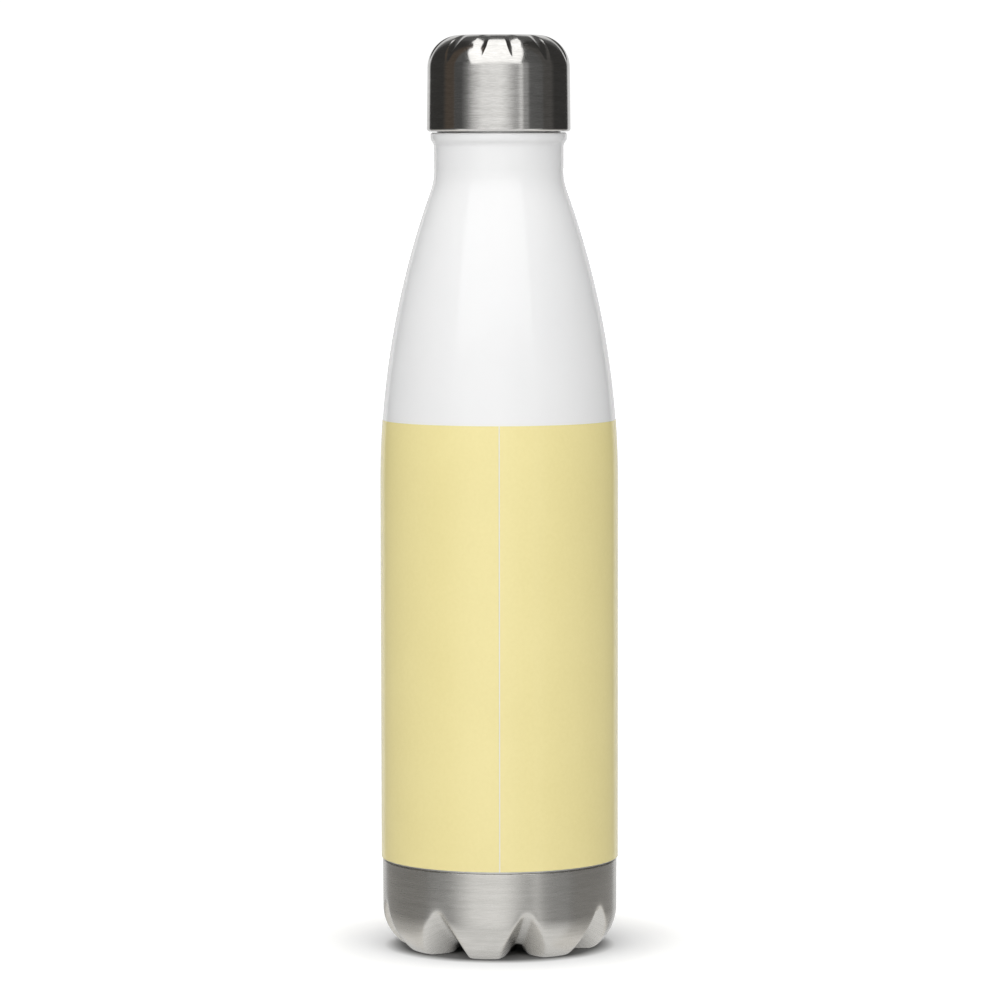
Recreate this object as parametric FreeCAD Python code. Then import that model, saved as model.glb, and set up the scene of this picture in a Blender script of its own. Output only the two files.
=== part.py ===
import FreeCAD, Part
import math
import os

# Kids' vacuum water bottle: a double-wall steel flask with a scooped steel screw cap and an eight-footed base.
# Millimetres, +Z up. The origin is the centre of the base, on the plane its feet stand on.

# Coated body, from the outside in
HEIGHT = 267.0
PRINT = 0.1                 # printed film
COAT = 0.2                  # white enamel
SHEET = 0.45                # outer steel
BARREL_R = 34.7             # outside of the enamel
NECK_R = 18.85
SHOULDER_START_Z = 137.0
SHOULDER_ARC_R = 250.0
NECK_FILLET_R = 18.0
COAT_LOW_Z = 26.5
SHELL_LOW_Z = 26.2
PRINT_LOW_Z = 26.55
PRINT_HIGH_Z = 155.0
SEAM_GAP = 0.3              # where the printed film's two ends meet, on the -Y side

# Rolled ring under the cap, and the bare collar above it
RING_R = 19.85
RING_SWELL_Z = 234.6
RING_FLAT_Z = 237.3
RING_TOP_Z = 238.7
COLLAR_R = 18.0
COLLAR_TOP_Z = 242.65

# Inner flask
LINER_SHEET = 0.35
LINER_R = 30.4
LINER_NECK_R = 16.7
LINER_SHOULDER_START_Z = 134.0
LINER_ARC_R = 290.0
LINER_WELD_Z = 24.0
LINER_BOTTOM_Z = 9.5
LINER_CORNER_R = 12.0
LIP_ROUND = 0.15
FOIL = 0.1
FOIL_LOW_Z = 26.0
FOIL_HIGH_Z = 132.0

# Footed base cup
FEET = 8
FIRST_VALLEY_DEG = -76.7    # from +X, counter-clockwise
CUP_TOP_Z = 32.0
CUP_FLANGE_R = 33.95
CUP_RIM_R = 34.4
CUP_RIM_Z = 25.9
CUP_HEEL = (34.3, 5.45, 14.8)    # radius, height and rounding of the heel
FOOT_EDGE = (28.35, 0.0, 3.8)
RECESS_FOOT_R = 20.0
RECESS_R = 14.0
RECESS_Z = 4.2
DIMPLE_R = 4.0
DIMPLE_TOP_R = 2.2
DIMPLE_Z = 5.4
PUMP_HOLE_R = 0.8
VALLEY_OUTER = (34.2, 13.8)  # radius and height of the valley's root at the wall
VALLEY_INNER = (23.0, 3.1)   # where the root turns level
VALLEY_ROOT_R = 2.0
VALLEY_HALF_ANGLE = math.radians(37.5)
VALLEY_DEPTH = 19.0
VALLEY_START_R = 37.0
VALLEY_END_R = 12.0

# Fittings in and under the vacuum space
DISC_R = 13.6
DISC_THICK = 0.4
GLASS_LOW_Z = 4.4
GLASS_STEM_R = 0.7
GLASS_STEM_Z = 6.2
GETTER_X = 10.0
GETTER_R = 4.2
GETTER_LOW_Z = 7.1
GETTER_HIGH_Z = 9.3
STRAP_THICK = 0.3
STRAP_WIDTH = 3.0
STRAP_HALF_SPAN = 9.0
STRAP_LEG_X = (4.8, 5.4)       # bottom and top of a leg

# Screw thread, right-hand
PITCH = 6.0
THREAD_TURNS = 1.5
BORE_R = LINER_NECK_R - LINER_SHEET
BEAD_CREST_R = 15.1
BEAD_START_Z = 230.6
BEAD_HALF_WIDTH = (1.5, 0.8)   # at the root and at the crest
PLUG_R = 14.9
RIDGE_CREST_R = 16.0
RIDGE_BELOW_BEAD = 2.4
RIDGE_START_Z = 230.2
RIDGE_HALF_WIDTH = (1.4, 0.7)
THREAD_SINK = 0.2              # how far a thread's root is sunk into its wall

# Cap
CAP_R = 20.94
CAP_LOW_Z = 239.0
CAP_TAPER = math.radians(0.67)
CAP_CORNER_R = 9.5
CAP_HEM_R = 20.0
CAP_HEM_ROUND = 0.9
SCOOPS = 12
FIRST_SCOOP_DEG = -76.65
SCOOP_ROOT_R = 5.5             # radius across a scoop
SCOOP_ARC_R = 11.5             # radius along its root, seen from the side
SCOOP_ARC_CENTRE = (9.63, 255.7)

# Stopper inside the cap
CAVITY_R = 18.6
CAVITY_TOP_Z = 244.8
SKIRT_LOW_Z = 239.7
STOPPER_GAP = 0.05             # between the stopper and the steel cap
STOPPER_SHOULDER_Z = 256.0
STOPPER_TOP_Z = 261.5
STOPPER_TOP_R = 17.0
PLUG_BORE_R = 13.2
PLUG_LOW_Z = 227.0
END_CAP_THICK = 1.4
END_CAP_SPIGOT = 1.6
FOAM_TOP_Z = 258.0

# Gasket
GASKET_IN_R = 15.3
GASKET_OUT_R = 18.3
GASKET_LOW_Z = 243.1
GASKET_HIGH_Z = 244.7
GASKET_ROUND = 0.35

ORIGIN = FreeCAD.Vector(0, 0, 0)
UP = FreeCAD.Vector(0, 0, 1)


def on_axis_plane(r, z):
    """A profile point (radius, height) in the XZ plane."""
    return FreeCAD.Vector(r, 0, z)


def unit(a, b):
    """Unit direction from point a to point b."""
    length = math.hypot(b[0] - a[0], b[1] - a[1])
    return ((b[0] - a[0]) / length, (b[1] - a[1]) / length)


def offset(corners, distance):
    """The open line of (u, v, rounding) corners, moved to its left by distance, with mitred corners."""
    moved = []
    for i, (u, v, rounding) in enumerate(corners):
        before = unit(corners[max(i - 1, 0)], corners[max(i, 1)])
        last = len(corners) - 1
        after = unit(corners[min(i, last - 1)], corners[min(i + 1, last)])
        normal = (-before[1] - after[1], before[0] + after[0])
        share = distance / (1 + before[0] * after[0] + before[1] * after[1])
        left_turn = before[0] * after[1] - before[1] * after[0] > 0
        if rounding:
            rounding = max(rounding - distance if left_turn else rounding + distance, 0)
        moved.append((u + normal[0] * share, v + normal[1] * share, rounding))
    return moved


def rounded_face(corners, place=on_axis_plane):
    """A face bounded by straight sides, with each (u, v, rounding) corner rounded by an arc."""
    legs = []
    for i, (u, v, rounding) in enumerate(corners):
        back = unit((u, v), corners[i - 1])
        ahead = unit((u, v), corners[(i + 1) % len(corners)])
        if rounding < 1e-6:
            legs.append(((u, v), None, (u, v)))
            continue
        half = math.acos(back[0] * ahead[0] + back[1] * ahead[1]) / 2
        trim = rounding / math.tan(half)
        to_middle = rounding / math.sin(half) - rounding
        inward = unit((0, 0), (back[0] + ahead[0], back[1] + ahead[1]))
        legs.append((
            (u + back[0] * trim, v + back[1] * trim),
            (u + inward[0] * to_middle, v + inward[1] * to_middle),
            (u + ahead[0] * trim, v + ahead[1] * trim),
        ))
    edges = []
    for i, (start, middle, end) in enumerate(legs):
        if middle:
            edges.append(Part.Arc(place(*start), place(*middle), place(*end)).toShape())
        following = legs[(i + 1) % len(legs)][0]
        if math.dist(end, following) > 1e-5:
            edges.append(Part.makeLine(place(*end), place(*following)))
    return Part.Face(Part.Wire(Part.__sortEdges__(edges)))


def turned(corners, degrees=360.0, start=0.0):
    """A solid turned about +Z from a closed profile."""
    face = rounded_face(corners)
    face.rotate(ORIGIN, UP, start)
    return face.revolve(ORIGIN, UP, degrees)


def sheet(corners, thickness):
    """The closed profile of a sheet that lies on the left of an open line of corners."""
    return corners + offset(corners, thickness)[::-1]


def around(shape, count, first):
    """Copies of a shape, evenly spaced about +Z, with the first one at an angle in degrees."""
    copies = []
    for i in range(count):
        copy = shape.copy()
        copy.rotate(ORIGIN, UP, first + i * 360.0 / count)
        copies.append(copy)
    return copies


def shoulder_corners(barrel_r, neck_r, start_z, arc_r, fillet_r):
    """The two corners whose roundings make a shoulder: one large arc that runs into the neck's fillet."""
    reach = arc_r + fillet_r
    turn = math.acos((reach - barrel_r + neck_r) / reach)
    neck_z = start_z + reach * math.sin(turn)
    bend = math.tan(turn / 2)
    return [(barrel_r, start_z + arc_r * bend, arc_r), (neck_r, neck_z - fillet_r * bend, fillet_r)]


def skin(low_z):
    """Outside of the enamel, from low_z up to the top of the rolled ring."""
    swell = RING_R - NECK_R
    rise = RING_FLAT_Z - RING_SWELL_Z
    half_turn = math.atan(swell / rise)
    swell_r = rise / (2 * math.sin(2 * half_turn))
    bend = swell_r * math.tan(half_turn)
    return (
        [(BARREL_R, low_z, 0)]
        + shoulder_corners(BARREL_R, NECK_R, SHOULDER_START_Z, SHOULDER_ARC_R, NECK_FILLET_R)
        + [
            (NECK_R, RING_SWELL_Z + bend, swell_r),
            (RING_R, RING_FLAT_Z - bend, swell_r),
            (RING_R, RING_TOP_Z, COAT + SHEET),
            (COLLAR_R, RING_TOP_Z, 0),
        ]
    )


def outer_shell():
    """Steel outer wall, from the base joint to the top of the collar."""
    steel = offset(skin(SHELL_LOW_Z), COAT)
    foot_of_collar = steel.pop()
    steel += [(COLLAR_R, foot_of_collar[1], 0), (COLLAR_R, COLLAR_TOP_Z, 0)]
    return turned(sheet(steel, SHEET))


def enamel_coat():
    """White coat over the barrel, shoulder, neck and ring."""
    return turned(sheet(skin(COAT_LOW_Z), COAT))


def printed_wrap():
    """Printed film round the barrel, open along a narrow seam on the -Y side."""
    centre_r = BARREL_R - SHOULDER_ARC_R
    turn = math.asin((PRINT_HIGH_Z - SHOULDER_START_Z) / SHOULDER_ARC_R)
    top_r = centre_r + SHOULDER_ARC_R * math.cos(turn)
    bend_z = SHOULDER_START_Z + SHOULDER_ARC_R * math.tan(turn / 2)
    inside = [(BARREL_R, PRINT_LOW_Z, 0), (BARREL_R, bend_z, SHOULDER_ARC_R), (top_r, PRINT_HIGH_Z, 0)]
    gap = math.degrees(SEAM_GAP / BARREL_R)
    return turned(sheet(inside, -PRINT), 360 - gap, -90 + gap / 2)


def filled(line):
    """The solid of revolution between an open line of corners and the axis."""
    return turned(line + [(0, z, 0) for r, z, rounding in (line[-1], line[0]) if r > 0])


def cup_line():
    """Outside of the base cup, from its pump hole out to the feet and up to its hidden flange."""
    return [
        (PUMP_HOLE_R, DIMPLE_Z, 0),
        (DIMPLE_TOP_R, DIMPLE_Z, 0),
        (DIMPLE_R, RECESS_Z, 0),
        (RECESS_R, RECESS_Z, 0),
        (RECESS_FOOT_R, 0, 0),
        FOOT_EDGE,
        CUP_HEEL,
        (CUP_RIM_R, CUP_RIM_Z, 0),
        (CUP_FLANGE_R, CUP_RIM_Z, 0),
        (CUP_FLANGE_R, CUP_TOP_Z, 0),
    ]


def groove_section(half_angle, root_r, height, grow):
    """A V with a rounded root at (0, 0) that opens upwards, made larger all round by grow."""
    depth = root_r / math.sin(half_angle) - root_r
    half_width = (height + depth) * math.tan(half_angle)
    return offset([(-half_width, height, 0), (0, -depth, root_r), (half_width, height, 0)], -grow)


def valley_cutter(grow):
    """Solid that forms one valley between two feet, along +X, made larger all round by grow."""
    section = groove_section(VALLEY_HALF_ANGLE, VALLEY_ROOT_R, VALLEY_DEPTH, grow)
    slope = (VALLEY_OUTER[1] - VALLEY_INNER[1]) / (VALLEY_OUTER[0] - VALLEY_INNER[0])
    reach = VALLEY_START_R - VALLEY_INNER[0]

    def place(across, down):
        return FreeCAD.Vector(VALLEY_INNER[0], across, VALLEY_INNER[1] - down)

    ramp = rounded_face(section, place).extrude(FreeCAD.Vector(reach, 0, reach * slope))
    level = rounded_face(section, place).extrude(FreeCAD.Vector(VALLEY_END_R - VALLEY_INNER[0], 0, 0))
    return ramp.fuse(level)


def base_cup():
    """Pressed base: eight feet round a recess, with a flange that is welded inside the outer wall."""
    line = cup_line()
    outside = filled(line).cut(around(valley_cutter(0), FEET, FIRST_VALLEY_DEG))
    inside = filled(offset(line, SHEET)).cut(around(valley_cutter(SHEET), FEET, FIRST_VALLEY_DEG))
    pump_hole = Part.makeCylinder(PUMP_HOLE_R, CUP_TOP_Z, ORIGIN, UP)
    return outside.cut([inside, pump_hole])


def base_disc():
    """Thin cover in the recess, over the sealed pump hole."""
    low_z = RECESS_Z - DISC_THICK
    return turned([(0, low_z, 0), (DISC_R, low_z, 0.15), (DISC_R, RECESS_Z, 0), (0, RECESS_Z, 0)])


def vacuum_seal_bead():
    """Solder glass that fills the dimple and closes the pump hole."""
    slope = (DIMPLE_R - DIMPLE_TOP_R) / (DIMPLE_Z - RECESS_Z)
    low_r = DIMPLE_R - (GLASS_LOW_Z - RECESS_Z) * slope
    return turned([
        (0, GLASS_LOW_Z, 0),
        (low_r, GLASS_LOW_Z, 0),
        (DIMPLE_TOP_R, DIMPLE_Z, 0),
        (GLASS_STEM_R, DIMPLE_Z, 0),
        (GLASS_STEM_R, GLASS_STEM_Z, 0.3),
        (0, GLASS_STEM_Z, 0),
    ])


def thread(root_r, crest_r, half_width, start_z, start_deg):
    """One right-hand helical rib whose root is sunk a little into the wall that carries it."""
    sunk_r = root_r + math.copysign(THREAD_SINK, root_r - crest_r)
    section = rounded_face([
        (sunk_r, -half_width[0], 0),
        (crest_r, -half_width[1], 0.2),
        (crest_r, half_width[1], 0.2),
        (sunk_r, half_width[0], 0),
    ])
    helix = Part.makeHelix(PITCH, PITCH * THREAD_TURNS, root_r)
    rib = Part.Wire(helix.Edges).makePipeShell([section.OuterWire], True, True)
    rib.rotate(ORIGIN, UP, start_deg)
    rib.translate(FreeCAD.Vector(0, 0, start_z))
    return rib


def inner_liner():
    """Inner flask wall, its neck with the rolled screw bead, and the drinking lip."""
    wall = [(LINER_R, LINER_WELD_Z, 0)]
    wall += shoulder_corners(LINER_R, LINER_NECK_R, LINER_SHOULDER_START_Z, LINER_ARC_R, NECK_FILLET_R)
    wall += [(LINER_NECK_R, COLLAR_TOP_Z, LIP_ROUND), (COLLAR_R, COLLAR_TOP_Z, 0)]
    bead = thread(BORE_R, BEAD_CREST_R, BEAD_HALF_WIDTH, BEAD_START_Z, 0)
    return turned(sheet(wall, LINER_SHEET)).fuse(bead)


def liner_bottom():
    """Dished bottom welded to the inner flask's wall."""
    dish = [(0, LINER_BOTTOM_Z, 0), (LINER_R, LINER_BOTTOM_Z, LINER_CORNER_R), (LINER_R, LINER_WELD_Z, 0)]
    return turned(sheet(dish, LINER_SHEET))


def copper_wrap():
    """Radiation foil round the straight part of the inner flask."""
    return turned(sheet([(LINER_R + FOIL, FOIL_LOW_Z, 0), (LINER_R + FOIL, FOIL_HIGH_Z, 0)], FOIL))


def getter_capsule():
    """Pill that keeps the vacuum, under the inner flask."""
    height = GETTER_HIGH_Z - GETTER_LOW_Z
    return Part.makeCylinder(GETTER_R, height, FreeCAD.Vector(GETTER_X, 0, GETTER_LOW_Z), UP)


def getter_strap():
    """Strip bent under the capsule and welded to the inner flask's bottom at both ends."""
    seat_z = GETTER_LOW_Z - STRAP_THICK
    weld_z = LINER_BOTTOM_Z - STRAP_THICK
    right = [(STRAP_LEG_X[0], seat_z, 0), (STRAP_LEG_X[1], weld_z, 0), (STRAP_HALF_SPAN, weld_z, 0)]
    left = [(-x, z, rounding) for x, z, rounding in right[::-1]]

    def place(x, z):
        return FreeCAD.Vector(GETTER_X + x, -STRAP_WIDTH / 2, z)

    return rounded_face(sheet(left + right, STRAP_THICK), place).extrude(FreeCAD.Vector(0, STRAP_WIDTH, 0))


def scoop_cutter(grow):
    """Solid that forms one scoop in the cap's top corner, over +X: a round bar bent into a quarter turn.
    grow is added to the bar's radius."""
    centre = FreeCAD.Vector(SCOOP_ARC_CENTRE[0], 0, SCOOP_ARC_CENTRE[1])
    start = centre + FreeCAD.Vector(SCOOP_ARC_R + SCOOP_ROOT_R, 0, 0)
    bar_end = Part.Face(Part.Wire(Part.makeCircle(SCOOP_ROOT_R + grow, start, UP)))
    return bar_end.revolve(centre, FreeCAD.Vector(0, -1, 0), 90)


def cap_shell():
    """Steel cap, pressed with a ring of scoops and hemmed round its open end."""
    top_r = CAP_R - (HEIGHT - CAP_LOW_Z) * math.tan(CAP_TAPER)
    line = [
        (CAP_HEM_R, CAP_LOW_Z, 0),
        (CAP_R, CAP_LOW_Z, CAP_HEM_ROUND),
        (top_r, HEIGHT, CAP_CORNER_R),
        (0, HEIGHT, 0),
    ]
    outside = filled(line).cut(around(scoop_cutter(0), SCOOPS, FIRST_SCOOP_DEG))
    inside = filled(offset(line, SHEET)).cut(around(scoop_cutter(SHEET), SCOOPS, FIRST_SCOOP_DEG))
    mouth = Part.makeCylinder(CAP_HEM_R, 2 * SHEET, FreeCAD.Vector(0, 0, CAP_LOW_Z - SHEET), UP)
    return outside.cut([inside, mouth])


def stopper_body():
    """Moulded stopper: a skirt and roof that fit the steel cap, and a hollow plug with the screw ridge."""
    inset = SHEET + STOPPER_GAP
    low_r = CAP_R - inset - (SKIRT_LOW_Z - CAP_LOW_Z) * math.tan(CAP_TAPER)
    shoulder_r = CAP_R - inset - (STOPPER_SHOULDER_Z - CAP_LOW_Z) * math.tan(CAP_TAPER)
    profile = [
        (PLUG_BORE_R, PLUG_LOW_Z + END_CAP_THICK, 0),
        (PLUG_R, PLUG_LOW_Z + END_CAP_THICK, 0),
        (PLUG_R, CAVITY_TOP_Z, 0),
        (CAVITY_R, CAVITY_TOP_Z, 0),
        (CAVITY_R, SKIRT_LOW_Z, 0.3),
        (low_r, SKIRT_LOW_Z, 0.6),
        (shoulder_r, STOPPER_SHOULDER_Z, 2.0),
        (STOPPER_TOP_R, STOPPER_TOP_Z, 0.5),
        (PLUG_BORE_R, STOPPER_TOP_Z, 0.5),
    ]
    below_bead = BEAD_START_Z - RIDGE_BELOW_BEAD
    start_deg = (RIDGE_START_Z - below_bead) / PITCH * 360
    ridge = thread(PLUG_R, RIDGE_CREST_R, RIDGE_HALF_WIDTH, RIDGE_START_Z, start_deg)
    return turned(profile).fuse(ridge)


def stopper_end_cap():
    """Disc welded into the plug's lower end."""
    weld_z = PLUG_LOW_Z + END_CAP_THICK
    spigot_r = PLUG_BORE_R - STOPPER_GAP
    return turned([
        (0, PLUG_LOW_Z, 0),
        (PLUG_R, PLUG_LOW_Z, 0.6),
        (PLUG_R, weld_z, 0),
        (spigot_r, weld_z, 0),
        (spigot_r, weld_z + END_CAP_SPIGOT, 0.4),
        (0, weld_z + END_CAP_SPIGOT, 0),
    ])


def foam_core():
    """Insulating foam inside the stopper."""
    low_z = PLUG_LOW_Z + END_CAP_THICK + END_CAP_SPIGOT + STOPPER_GAP
    core_r = PLUG_BORE_R - STOPPER_GAP
    return turned([(0, low_z, 0), (core_r, low_z, 0.5), (core_r, FOAM_TOP_Z, 0.5), (0, FOAM_TOP_Z, 0)])


def seal_gasket():
    """Silicone ring between the stopper's roof and the drinking lip."""
    return turned([
        (GASKET_IN_R, GASKET_LOW_Z, GASKET_ROUND),
        (GASKET_OUT_R, GASKET_LOW_Z, GASKET_ROUND),
        (GASKET_OUT_R, GASKET_HIGH_Z, GASKET_ROUND),
        (GASKET_IN_R, GASKET_HIGH_Z, GASKET_ROUND),
    ])


PIECES = [
    outer_shell,
    enamel_coat,
    printed_wrap,
    base_cup,
    base_disc,
    vacuum_seal_bead,
    inner_liner,
    liner_bottom,
    copper_wrap,
    getter_capsule,
    getter_strap,
    cap_shell,
    stopper_body,
    stopper_end_cap,
    foam_core,
    seal_gasket,
]

os.makedirs("parts", exist_ok=True)
for piece in PIECES:
    shape = piece()
    shape.exportStep("parts/" + piece.__name__ + ".step")
    print(f"{piece.__name__:18s} solids {len(shape.Solids)}  valid {shape.isValid()}  mm3 {shape.Volume:9.1f}")
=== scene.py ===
import math

import bpy
import numpy as np
from mathutils import Matrix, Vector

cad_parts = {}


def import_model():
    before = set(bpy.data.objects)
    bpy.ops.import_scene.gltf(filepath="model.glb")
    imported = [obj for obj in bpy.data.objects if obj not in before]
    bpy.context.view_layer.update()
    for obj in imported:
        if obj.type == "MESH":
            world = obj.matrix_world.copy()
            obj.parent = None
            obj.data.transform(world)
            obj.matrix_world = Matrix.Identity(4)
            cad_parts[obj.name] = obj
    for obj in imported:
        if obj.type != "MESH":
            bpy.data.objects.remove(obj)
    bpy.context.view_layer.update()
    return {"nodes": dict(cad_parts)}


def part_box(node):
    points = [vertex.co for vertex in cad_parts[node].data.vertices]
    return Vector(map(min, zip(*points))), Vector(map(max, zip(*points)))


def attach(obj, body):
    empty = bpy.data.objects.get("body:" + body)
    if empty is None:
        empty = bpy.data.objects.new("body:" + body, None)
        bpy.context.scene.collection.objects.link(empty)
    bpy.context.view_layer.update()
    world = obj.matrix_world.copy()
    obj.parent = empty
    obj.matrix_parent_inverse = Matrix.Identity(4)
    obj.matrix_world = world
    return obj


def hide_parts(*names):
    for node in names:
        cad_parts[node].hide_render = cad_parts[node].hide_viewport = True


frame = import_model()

# Kids' vacuum water bottle. Shapes are worked out in millimetres and written to the meshes in metres.
MM = 0.001


# Sizes read from the frame, in millimetres

def low(node):
    return round(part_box(node)[0].z / MM, 2)


def high(node):
    return round(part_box(node)[1].z / MM, 2)


def radius(node):
    return round(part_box(node)[1].x / MM, 2)


HEIGHT = high("cap_shell")
CAP_LOW = low("cap_shell")
BARREL_R = radius("enamel_coat")
COAT_LOW = low("enamel_coat")
COAT_TOP = high("enamel_coat")
SHELL_LOW = low("outer_shell")
SHELL_TOP = high("outer_shell")
PRINT_LOW = low("printed_wrap")
PRINT_TOP = high("printed_wrap")
FLANGE_TOP = high("base_cup")
LINER_R = radius("inner_liner")
LIP_TOP = high("inner_liner")
LINER_BOTTOM = low("liner_bottom")
DISC_LOW = low("base_disc")
DISC_TOP = high("base_disc")
DISC_R = radius("base_disc")
GASKET_LOW = low("seal_gasket")
GASKET_TOP = high("seal_gasket")
GASKET_R = radius("seal_gasket")
FLASK_WELD_Z = low("inner_liner")
PLUG_LOW = low("stopper_end_cap")
PLUG_END_TOP = high("stopper_end_cap")
PLUG_R = radius("stopper_end_cap")
PLUG_WELD = low("stopper_body")
STOPPER_TOP = high("stopper_body")

# Sheet and skin thicknesses
COAT = 0.2
SHEET = 0.45
LINER_SHEET = 0.35
PRINT = 0.1

# Body outline
NECK_R = 18.85
SHOULDER_START = 137.0
SHOULDER_ARC = 250.0
NECK_FILLET = 18.0
RING_R = 19.85
RING_SWELL = 234.6
RING_FLAT = 237.3
COLLAR_R = 18.0
COLLAR_TOP = SHELL_TOP
SEAM_GAP = 0.3

# Inner flask
LINER_NECK_R = 16.7
LINER_SHOULDER_START = 134.0
LINER_ARC = 290.0
LINER_CORNER = 12.0

# Base cup
FEET = 8
FIRST_VALLEY = math.radians(-76.7)
CUP_RIM = (34.4, 25.9)
CUP_FLANGE_R = 33.95
CUP_HEEL = (34.3, 5.45, 14.8)
FOOT_EDGE = (28.35, 0.0, 3.8)
RECESS_FOOT_R = 20.0
RECESS_R = 14.0
RECESS_Z = DISC_TOP
DIMPLE_R = 4.0
DIMPLE_TOP_R = 2.2
DIMPLE_Z = 5.4
PUMP_HOLE_R = 0.8
VALLEY_OUTER = (34.2, 13.8)
VALLEY_INNER = (23.0, 3.1)
VALLEY_ROOT = 2.0
VALLEY_HALF_ANGLE = math.radians(37.5)
VALLEY_KNEE = 1.5              # softness of the bend where a valley's root turns level
VALLEY_CREST = 0.6             # softness of the edges beside a valley
VALLEY_CENTRE = (10.0, 24.0)   # the metal is pressed towards this radius and height

# Cap
CAP_R = 20.94
CAP_TAPER = math.radians(0.67)
CAP_CORNER = 9.5
CAP_HEM_R = 20.0
SCOOPS = 12
FIRST_SCOOP = math.radians(-76.65)
SCOOP_ROOT = 5.5               # radius across a scoop
SCOOP_ARC = 11.5               # radius along a scoop's root, seen from the side
SCOOP_ARC_CENTRE = (9.63, 255.7)
SCOOP_CREST = 0.05             # softness of the edges beside a scoop
SCOOP_CENTRE = (4.0, 250.0)    # the metal is pressed towards this radius and height

# Stopper
CAVITY_R = 18.6
CAVITY_TOP = 244.8
SKIRT_LOW = 239.7
STOPPER_GAP = 0.05
STOPPER_SHOULDER = 256.0
STOPPER_TOP_R = 17.0
PLUG_BORE_R = 13.2
GASKET_IN_R = 15.3

# Screw thread
PITCH = 6.0
TURNS = 1.5
BORE_R = LINER_NECK_R - LINER_SHEET
THREAD_LOW = 228.5
THREAD_HIGH = 241.9
BEAD = {"wall": BORE_R, "start": 230.6, "angle": 0.0, "root": 1.5, "crest": 0.8, "height": -1.2}
RIDGE = {"wall": PLUG_R, "start": 230.2, "angle": math.radians(120), "root": 1.4, "crest": 0.7, "height": 1.1}
THREAD_TAPER = 0.09            # turns over which each end of a thread fades

# Pressing
PRESS_REACH = 12.0             # how far a sheet may be moved
PRESS_STEPS = 18               # how often that distance is halved to find where the sheet comes to rest
PRESS_LEAN = 0.2               # least cosine between the push and the sheet's normal

ON_FACE = 0.01                 # a point this close to a face lies on it

# Studio, in metres, degrees and linear brightness. Azimuth 0 is towards the camera, and + is towards +X.
CAMERA_AT = (0.00022, -1.430, 0.2391)
CAMERA_TILT = 4.31
CAMERA_ROLL = -0.081
LENS = 176.2
BACKDROP = 1.05                # strength of the world as the camera sees it
FILL_LIGHT = 0.55              # as it lights the object
MIRRORED_FILL = 0.12           # and in reflections, above
MIRRORED_BELOW = 0.95
MIRRORED_BEHIND = 0.75
BELOW = (-0.25, -0.5)          # between these Z parts of a direction the mirrored world gets bright
BEHIND = (0.80, 0.88)          # and between these Y parts
FLOOR_REACH = 30.0
FLOOR_PAINTED_SHADOW = (0.028, 0.034)    # between these distances from the middle the floor's painted contact shadow turns from grey to white
FLOOR_NEAR = (0.028, 0.068)    # between these it starts to glow
FLOOR_FAR = (0.5, 6.0)         # between these it glows more
FLOOR_UNSEEN = (0.018, 0.033)  # between these it goes out of the reflections
FLOOR_GLOW = (0.35, 0.7)       # strength of the near and the far glow
FLAG_X = 0.65
FLAG_Y = (-0.17, 0.93)
FLAG_Z = (-1.1, 2.0)
FLAG_LIGHT = (0.095, 0.048)    # towards the camera and towards the back
FLAG_FADE_Y = (0.02, 0.12)     # backwards between these the colour and light change to those of the back
FLAG_FADE_Z = (0.25, 0.1)      # downwards between these the colour does too
FLAG_LOW_GLOW = 0.92
FLAG_LOW_Z = (0.15, -0.6)      # downwards between these the low glow comes in
KEY_LIGHT = 2.15
KEY_BEHIND = 1.02              # how much further out the key is than the one that is mirrored
MIRRORED_KEY = 1.6
KEY_ROWS = [                   # y, z, and x at the left and right edges
    (-1.215, 0.588, -1.211, 0.874),
    (-0.36, 1.918, -1.211, 0.874),
    (0.0, 1.918, -0.927, 0.662),
    (0.71, 1.918, -0.55, 0.43),
]
WALL_R = 1.7
WALL_TOP = 0.75
WALL_HALF_ANGLE = 75.0
WALL_LOW_GLOW = 0.8
WALL_LOW_Z = (0.1, -0.75)      # downwards between these the low glow comes in
WALL_LIGHT = [                 # azimuth and brightness
    (-75, 0.09), (-62, 0.09), (-52, 0.25), (-42, 0.6), (-27, 1.0), (3, 1.08), (12, 0.9), (26, 0.48),
    (31, 0.5), (35, 0.8), (38, 0.8), (41, 0.36), (47, 0.36), (51, 0.14), (75, 0.12),
]


# Outlines: lists of (radius, height, rounding) corners

def unit(a, b):
    """Unit direction from point a to point b."""
    length = math.hypot(b[0] - a[0], b[1] - a[1])
    return ((b[0] - a[0]) / length, (b[1] - a[1]) / length)


def offset(corners, distance):
    """The open line of corners, moved to its left by distance, with mitred corners."""
    moved = []
    last = len(corners) - 1
    for i, (r, z, rounding) in enumerate(corners):
        before = unit(corners[max(i - 1, 0)], corners[max(i, 1)])
        after = unit(corners[min(i, last - 1)], corners[min(i + 1, last)])
        normal = (-before[1] - after[1], before[0] + after[0])
        share = distance / (1 + before[0] * after[0] + before[1] * after[1])
        left_turn = before[0] * after[1] - before[1] * after[0] > 0
        if rounding:
            rounding = max(rounding - distance if left_turn else rounding + distance, 0)
        moved.append((r + normal[0] * share, z + normal[1] * share, rounding))
    return moved


def sheet(corners, thickness):
    """The closed outline of a sheet that lies on the left of an open line of corners."""
    return corners + offset(corners, thickness)[::-1]


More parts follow.
